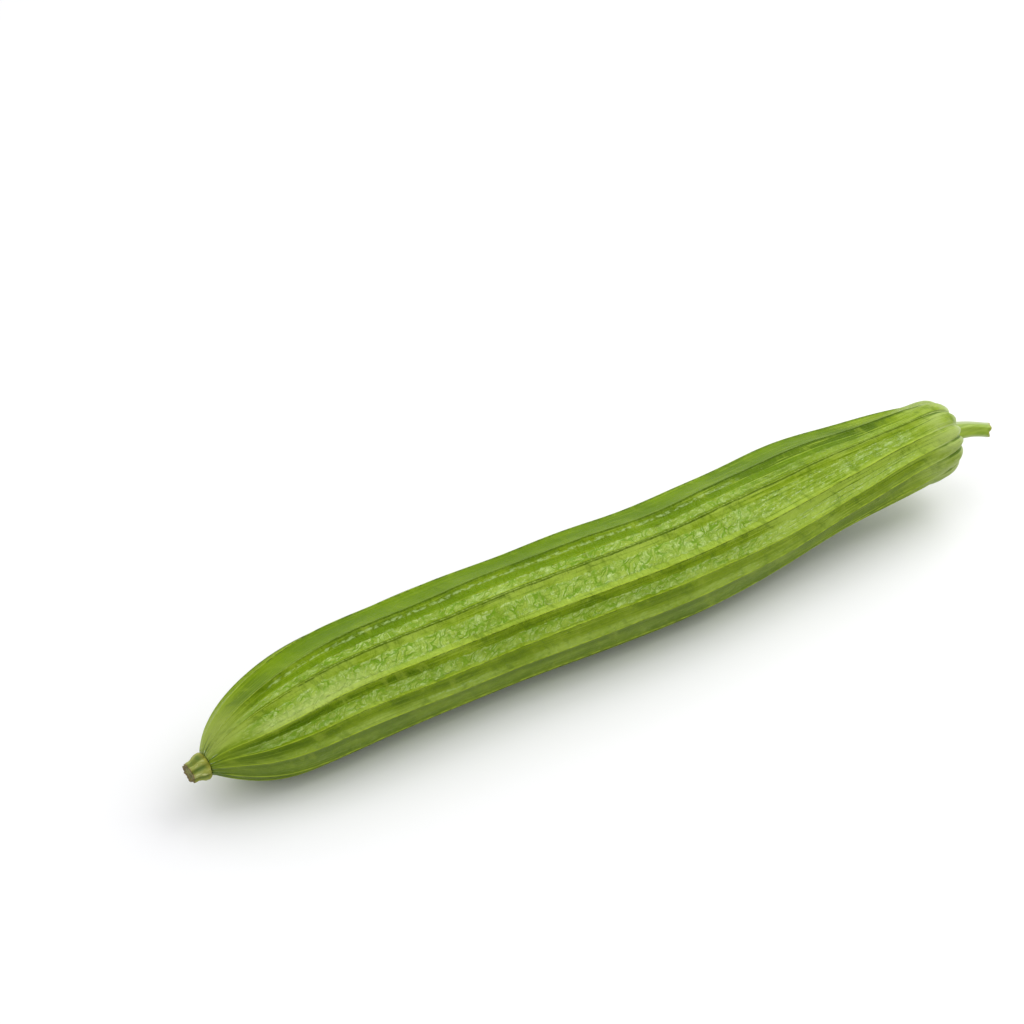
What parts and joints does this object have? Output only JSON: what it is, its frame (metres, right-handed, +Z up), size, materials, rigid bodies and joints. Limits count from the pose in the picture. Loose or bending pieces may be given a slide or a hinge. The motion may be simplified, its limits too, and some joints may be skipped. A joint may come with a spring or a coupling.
{
  "type": "sponge gourd",
  "caption": "Long ribbed green gourd lying on its side, blunt at the stalk end and narrowing to a dried flower remnant; a fresh vegetable for kitchens and market stalls.",
  "frame": {"origin": "on the resting plane, under the middle of the bounding box", "axes": "+X along the fruit towards the stalk, +Z up, Y across"},
  "size_m": [0.3986, 0.0544, 0.0514],
  "materials": {
    "fruit": "smooth waxy green skin, semi-gloss, lighter along the ribs",
    "stalk": "fresh pale green stalk, matt",
    "flower_remains": "drying yellow-green stub with a brown cut rim, matt"
  },
  "bodies": {
    "root": {"fruit": "fruit", "stalk": "stalk", "flower_remains": "flower_remains"}
  },
  "joints": []
}
